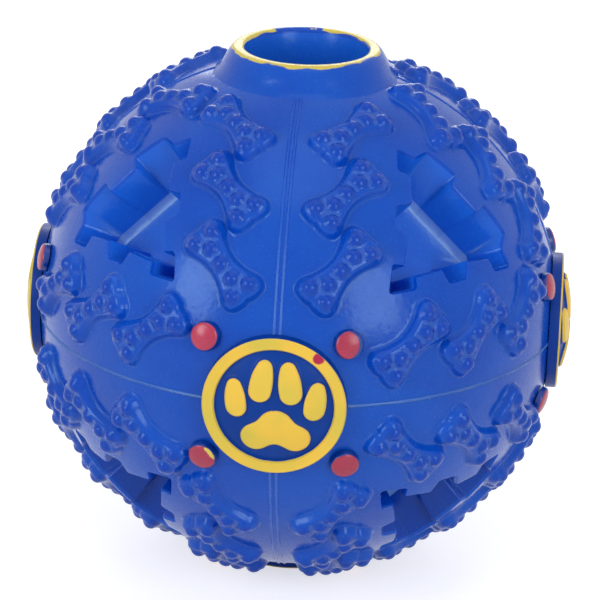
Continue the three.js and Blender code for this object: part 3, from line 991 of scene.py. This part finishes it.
def vinyl(name, painted_lip):
    """Soft translucent blue vinyl with a faint mottle, painted highlights, painted shade and painted
    light; the lip of the mouth carries yellow paint.
    """
    s = Surface(name)
    mottle = s.ramp(s.noise(38.0, detail=4.0), 0.3, 0.7)
    fine = s.ramp(s.noise(900.0, detail=2.0), 0.6, 0.8, to_high=0.35)
    color = s.mix(mottle, BLUE_DEEP, BLUE)
    color = s.mix(fine, color, BLUE_PALE)
    # Painted shade, painted light and painted highlights, from the face marks of mark_tones
    color = s.mix(s.attribute("painted_shade"), color, BLUE_PAINTED_SHADE)
    color = s.mix(s.attribute("lit"), color, BLUE_LIT)
    color = s.mix(s.attribute("painted_highlight"), color, BLUE_PAINTED_HIGHLIGHT)
    if painted_lip:
        color = s.mix(lip_paint(s), color, YELLOW)
    patches = s.ramp(s.noise(160.0), 0.3, 0.7, to_low=0.15, to_high=0.21)
    speckle = s.ramp(s.noise(1500.0, detail=1.0), 0.6, 0.68, to_high=0.16)
    s.set("Base Color", color)
    s.set("Roughness", s.math("ADD", patches, speckle))
    s.set("Subsurface Weight", 0.4)
    s.set("Subsurface Radius", (0.35, 0.6, 1.0))
    s.set("Subsurface Scale", 3 * MM)
    s.set("Specular IOR Level", 0.33)
    s.set("Specular Tint", SHEEN)
    s.bump(s.noise(700.0), distance=0.15 * MM, strength=0.35)
    return s.material


def painted(name, ground, paint_tones, stray_color, worn, gloss, rough):
    """Vinyl with paint of two tones on its raised parts, and stray paint; worn sets how ragged it is."""
    s = Surface(name)
    uneven = s.ramp(s.noise(420.0), 0.25, 0.75, to_low=-worn, to_high=worn)
    cover = s.ramp(s.math("ADD", s.attribute("paint"), uneven), 0.42, 0.62)
    tone = s.ramp(s.noise(70.0, detail=2.0), 0.35, 0.65)
    paint = s.mix(tone, *paint_tones)
    shade = s.ramp(s.noise(120.0), 0.3, 0.7, to_high=0.4)
    base = s.mix(shade, ground, darker(ground, 0.7))
    stray = s.ramp(s.math("ADD", s.attribute("stray"), uneven), 0.45, 0.6)
    s.set("Base Color", s.mix(stray, s.mix(cover, base, paint), stray_color))
    s.set("Roughness", s.ramp(s.noise(300.0), 0.3, 0.7, to_low=rough, to_high=rough + 0.12))
    s.set("Specular IOR Level", gloss)
    s.bump(s.noise(800.0), distance=0.1 * MM, strength=0.3)
    return s.material


def moulded(name, color, rough, metallic):
    """Plain moulded or turned material of the hidden sound unit, with fine grain."""
    s = Surface(name)
    shade = s.ramp(s.noise(140.0, detail=4.0), 0.3, 0.7, to_high=0.3)
    s.set("Base Color", s.mix(shade, color, darker(color, 0.8)))
    s.set("Roughness", s.ramp(s.noise(400.0), 0.3, 0.7, to_low=rough - 0.05, to_high=rough + 0.08))
    s.set("Metallic", metallic)
    s.bump(s.noise(900.0), distance=0.05 * MM, strength=0.2)
    return s.material


def build_ball():
    upper, lower = shells()
    mark_tones(upper)
    mark_tones(lower)
    settle(upper, "vinyl_upper", "ball", "upper_shell", vinyl("vinyl_upper", True))
    settle(lower, "vinyl_lower", "ball", "lower_shell", vinyl("vinyl_lower", False))


def build_trim():
    rng = np.random.default_rng(SLIP_SEED)
    yellow = (YELLOW, YELLOW_WARM)
    red = (RED, RED_DEEP)
    face_paint = painted("medallion_paint", NAVY, yellow, RED, worn=0.05, gloss=0.16, rough=0.3)
    crown_paint = painted("stud_paint", STUD_BLUE, red, YELLOW, worn=0.15, gloss=0.5, rough=0.2)
    for name, site in SITES.items():
        disc = medallion_object(site, 0 if name == "bottom" else DOME_RISE, RING_BLOTS.get(name))
        settle(disc, f"paw_{name}", "ball", f"medallion_{name}", face_paint, sharp=45)
        for k, stud_site in enumerate(stud_frames(site), 1):
            place = f"{name}_{k}"
            slip = STUD_SLIPS.get(place, rng.normal(0, SLIP_SPREAD, 2))
            stud = stud_object(stud_site, slip, STUD_CRESCENTS.get(place))
            settle(stud, f"dot_{place}", "ball", f"stud_{place}", crown_paint, sharp=40)


def dress_sound_unit():
    """Gives each piece a material: its name, colour, roughness and metallic share."""
    finishes = {
        "sound_tube": ("tube_white", srgb(217, 218, 219), 0.32, 0.0),
        "tube_cap_lower": ("cap_grey", srgb(201, 203, 205), 0.42, 0.0),
        "tube_cap_upper": ("cap_grey_top", srgb(201, 203, 205), 0.42, 0.0),
        "reed_body": ("reed_dark", srgb(58, 60, 64), 0.5, 0.0),
        "slug_weight": ("weight_steel", srgb(154, 157, 161), 0.33, 1.0),
        "reed_tongue": ("tongue_film", srgb(230, 226, 212), 0.38, 0.0),
    }
    for node, finish in finishes.items():
        material = moulded(*finish)
        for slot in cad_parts[node].material_slots:
            slot.material = material


# Studio


PICTURE = 600
VIEW_YAW = math.radians(4.35)
VIEW_PITCH = math.radians(21.33)
VIEW_ROLL = math.radians(1.82)
VIEW_DISTANCE = 11.29 * BALL_R * MM
VIEW_FOCAL = 2907.8 / PICTURE
VIEW_SHIFT = (1.42 / PICTURE, 4.48 / PICTURE)
VIEW_END = 20
SENSOR = 36.0

LAMP_DISTANCE = 0.9
OVERHEAD = 0.99
WORLD_LIGHT = 0.55
WHITE = (1, 1, 1, 1)
FLOOR_HALF = 3.0
FLOOR_LIFT = 0.62
FLOOR_GREY = (0.7, 0.7, 0.7, 1)
FLOOR_PALE = (0.72, 0.72, 0.72, 1)


def direction(turn, rise):
    """Direction from the ball, turned from the front to the right and raised."""
    return np.array([math.sin(turn) * math.cos(rise), -math.cos(turn) * math.cos(rise), math.sin(rise)])


def stand(obj, e1, e2, n, distance):
    """Puts a camera or lamp into the scene so that it looks at the ball's centre along -n."""
    matrix = np.eye(4)
    matrix[:3, 0], matrix[:3, 1], matrix[:3, 2] = e1, e2, n
    matrix[:3, 3] = np.array([0, 0, CENTRE_Z]) + n * distance
    obj.matrix_world = Matrix(matrix.tolist())
    bpy.context.scene.collection.objects.link(obj)


def camera_axes():
    back = direction(VIEW_YAW, VIEW_PITCH)
    level = np.array([math.cos(VIEW_YAW), math.sin(VIEW_YAW), 0.0])
    up = np.cross(back, level)
    return blend(level, up, VIEW_ROLL), blend(level, up, VIEW_ROLL + math.pi / 2), back


def add_camera():
    right, up, back = camera_axes()
    data = bpy.data.cameras.new("camera")
    data.sensor_width = SENSOR
    data.lens = VIEW_FOCAL * SENSOR
    data.shift_x, data.shift_y = VIEW_SHIFT
    data.clip_end = VIEW_END
    camera = bpy.data.objects.new("camera", data)
    stand(camera, right, up, back, VIEW_DISTANCE)
    bpy.context.scene.camera = camera


def add_softbox(name, azimuth, elevation, size, power):
    """Area light that faces the ball; azimuth is measured from the camera's side, to the right."""
    out = direction(math.radians(azimuth) + VIEW_YAW, math.radians(elevation))
    n, e1, e2 = frame_at(out, np.cross(TOP, out) if abs(out[2]) < OVERHEAD else RIGHT)
    data = bpy.data.lights.new(name, "AREA")
    data.shape = "RECTANGLE"
    data.size, data.size_y = size
    data.energy = power
    stand(bpy.data.objects.new(name, data), e1, e2, n, LAMP_DISTANCE)


def seen_rays(tree, hidden, shown):
    """One value for rays that show a surface, also by mirror or glass, and another for rays that light."""
    path = tree.nodes.new("ShaderNodeLightPath")
    level = path.outputs["Is Camera Ray"]
    for name in ("Is Glossy Ray", "Is Transmission Ray"):
        either = tree.nodes.new("ShaderNodeMath")
        either.operation = "MAXIMUM"
        tree.links.new(level, either.inputs[0])
        tree.links.new(path.outputs[name], either.inputs[1])
        level = either.outputs[0]
    ranged = tree.nodes.new("ShaderNodeMapRange")
    tree.links.new(level, ranged.inputs["Value"])
    ranged.inputs["To Min"].default_value = hidden
    ranged.inputs["To Max"].default_value = shown
    return ranged.outputs["Result"]


def add_world():
    """White backdrop for the camera and for reflections, softer light on the ball."""
    world = bpy.data.worlds.new("studio")
    bpy.context.scene.world = world
    world.use_nodes = True
    tree = world.node_tree
    background = tree.nodes["Background"]
    background.inputs["Color"].default_value = WHITE
    seen = seen_rays(tree, WORLD_LIGHT, 1.0)
    tree.links.new(seen, background.inputs["Strength"])


def add_floor():
    """White floor that keeps the ball's shadow."""
    half = FLOOR_HALF
    corners = [(-half, -half, 0), (half, -half, 0), (half, half, 0), (-half, half, 0)]
    floor = mesh_object("floor", corners, [[0, 1, 2, 3]])
    s = Surface("floor_white")
    s.set("Base Color", s.mix(s.noise(6.0), FLOOR_GREY, FLOOR_PALE))
    s.set("Roughness", 0.7)
    s.set("Specular IOR Level", 0.1)
    s.set("Emission Color", WHITE)
    s.set("Emission Strength", seen_rays(s.tree, 0.0, FLOOR_LIFT))
    floor.data.materials.append(s.material)


def studio():
    bpy.context.scene.view_settings.view_transform = "Standard"
    add_camera()
    add_softbox("softbox_left", azimuth=-47.7, elevation=21.5, size=(0.3, 0.44), power=2.2)
    add_softbox("softbox_right", azimuth=33.6, elevation=21.5, size=(0.34, 0.44), power=2.1)
    add_softbox("softbox_top", azimuth=0, elevation=80, size=(0.6, 0.6), power=0.9)
    add_softbox("softbox_back", azimuth=180, elevation=25, size=(0.5, 0.4), power=1.6)
    add_world()
    add_floor()


build_ball()
build_trim()
dress_sound_unit()
studio()
